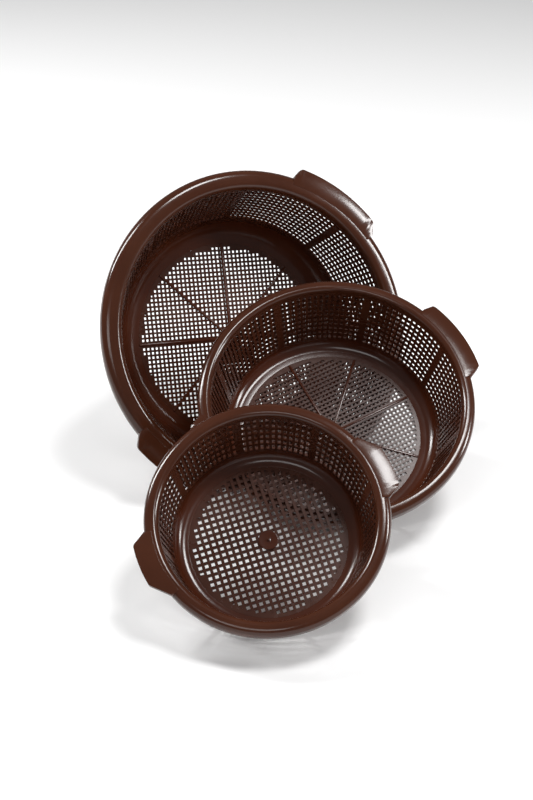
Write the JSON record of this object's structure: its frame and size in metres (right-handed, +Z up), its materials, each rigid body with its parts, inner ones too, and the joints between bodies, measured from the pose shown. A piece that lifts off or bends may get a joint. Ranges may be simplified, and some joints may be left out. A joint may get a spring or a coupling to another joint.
{
  "type": "cheese mould set",
  "caption": "Nesting round plastic cheese moulds with sieve walls and bases, rolled rims and side grips, leaning on one another.",
  "frame": {"origin": "on the floor, under the middle of the whole set's box", "axes": "+Z up, -Y towards the open sides, which the set shows to its front, +X to the right"},
  "size_m": [0.2268, 0.2962, 0.1737],
  "materials": {
    "rim_plastic": "dark chocolate brown, glossy, lightly orange-peeled",
    "sieve_plastic": "dark chocolate brown, semi-gloss",
    "base_plastic": "reddish dark brown, glossy"
  },
  "bodies": {
    "large_mould": {"large_rim": "rim_plastic", "large_right_grip": "rim_plastic", "large_left_grip": "rim_plastic", "large_wall_ribs": "sieve_plastic", "large_wall_hoops": "sieve_plastic", "large_base_ring": "base_plastic", "large_base_bars": "sieve_plastic", "large_base_cross_bars": "sieve_plastic", "large_base_spokes": "base_plastic"},
    "medium_mould": {"medium_rim": "rim_plastic", "medium_right_grip": "rim_plastic", "medium_left_grip": "rim_plastic", "medium_wall_ribs": "sieve_plastic", "medium_wall_hoops": "sieve_plastic", "medium_base_ring": "base_plastic", "medium_base_bars": "sieve_plastic", "medium_base_cross_bars": "sieve_plastic", "medium_base_spokes": "base_plastic"},
    "small_mould": {"small_rim": "rim_plastic", "small_right_grip": "rim_plastic", "small_left_grip": "rim_plastic", "small_wall_ribs": "sieve_plastic", "small_wall_hoops": "sieve_plastic", "small_base_ring": "base_plastic", "small_base_bars": "sieve_plastic", "small_base_cross_bars": "sieve_plastic", "small_centre_boss": "base_plastic"}
  },
  "joints": [
    {"name": "medium_lift_off", "type": "slide", "parent": "large_mould", "child": "medium_mould", "axis": [0.3685, -0.776, 0.5119], "range_m": [0, 0.12]},
    {"name": "small_lift_off", "type": "slide", "parent": "medium_mould", "child": "small_mould", "axis": [0.0222, -0.5086, 0.8607], "range_m": [0, 0.12]}
  ]
}
